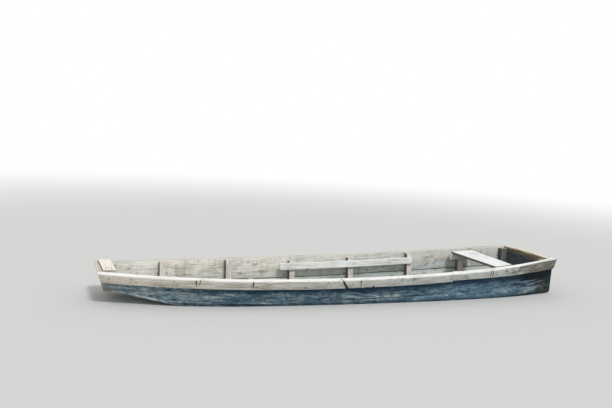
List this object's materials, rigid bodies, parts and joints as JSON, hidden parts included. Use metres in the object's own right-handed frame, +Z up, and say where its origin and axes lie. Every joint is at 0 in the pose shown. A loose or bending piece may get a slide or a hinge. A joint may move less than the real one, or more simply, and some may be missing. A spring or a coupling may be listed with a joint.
{
  "type": "rowing boat",
  "caption": "Flat-bottomed plank rowing boat, narrow raised bow and wide upright stern, with rubbing rails, ribs, a stern seat and a small bow board.",
  "frame": {"origin": "centre of the whole boat's outline, on the plane of its flat bottom", "axes": "+X to the stern, +Y to starboard, +Z up"},
  "size_m": [5.2, 1.3682, 0.5185],
  "materials": {
    "painted_side_plank": "worn dark blue paint outside, bare grey wood inside",
    "bottom_plank": "bare wood, dark with damp",
    "rail_wood": "bare weathered grey",
    "transom_wood": "bare weathered dark grey",
    "bow_wood": "bare weathered grey",
    "seat_wood": "bare wood bleached pale",
    "frame_wood": "bare weathered grey"
  },
  "bodies": {
    "root": {"bottom_plank_port_outer": "bottom_plank", "bottom_plank_port": "bottom_plank", "bottom_plank_middle": "bottom_plank", "bottom_plank_starboard": "bottom_plank", "bottom_plank_starboard_outer": "bottom_plank", "bow_board": "bow_wood", "bow_beam": "seat_wood", "bow_deck": "seat_wood", "transom_upper": "transom_wood", "transom_lower": "transom_wood", "stern_seat": "seat_wood", "floor_1": "frame_wood", "floor_2": "frame_wood", "floor_3": "frame_wood", "floor_4": "frame_wood", "floor_5": "frame_wood", "floor_6": "frame_wood", "starboard_upper_plank": "painted_side_plank", "port_upper_plank": "painted_side_plank", "starboard_lower_plank": "painted_side_plank", "port_lower_plank": "painted_side_plank", "starboard_rail_fore": "rail_wood", "port_rail_fore": "rail_wood", "starboard_rail_middle": "rail_wood", "port_rail_middle": "rail_wood", "starboard_rail_aft": "rail_wood", "port_rail_aft": "rail_wood", "starboard_stern_post": "frame_wood", "port_stern_post": "frame_wood", "starboard_riser": "frame_wood", "port_riser": "frame_wood", "starboard_seat_riser": "frame_wood", "port_seat_riser": "frame_wood", "starboard_rib_1": "frame_wood", "port_rib_1": "frame_wood", "starboard_rib_2": "frame_wood", "port_rib_2": "frame_wood", "starboard_rib_3": "frame_wood", "port_rib_3": "frame_wood", "starboard_rib_4": "frame_wood", "port_rib_4": "frame_wood", "starboard_rib_5": "frame_wood", "port_rib_5": "frame_wood", "starboard_rib_6": "frame_wood", "port_rib_6": "frame_wood"}
  },
  "joints": []
}
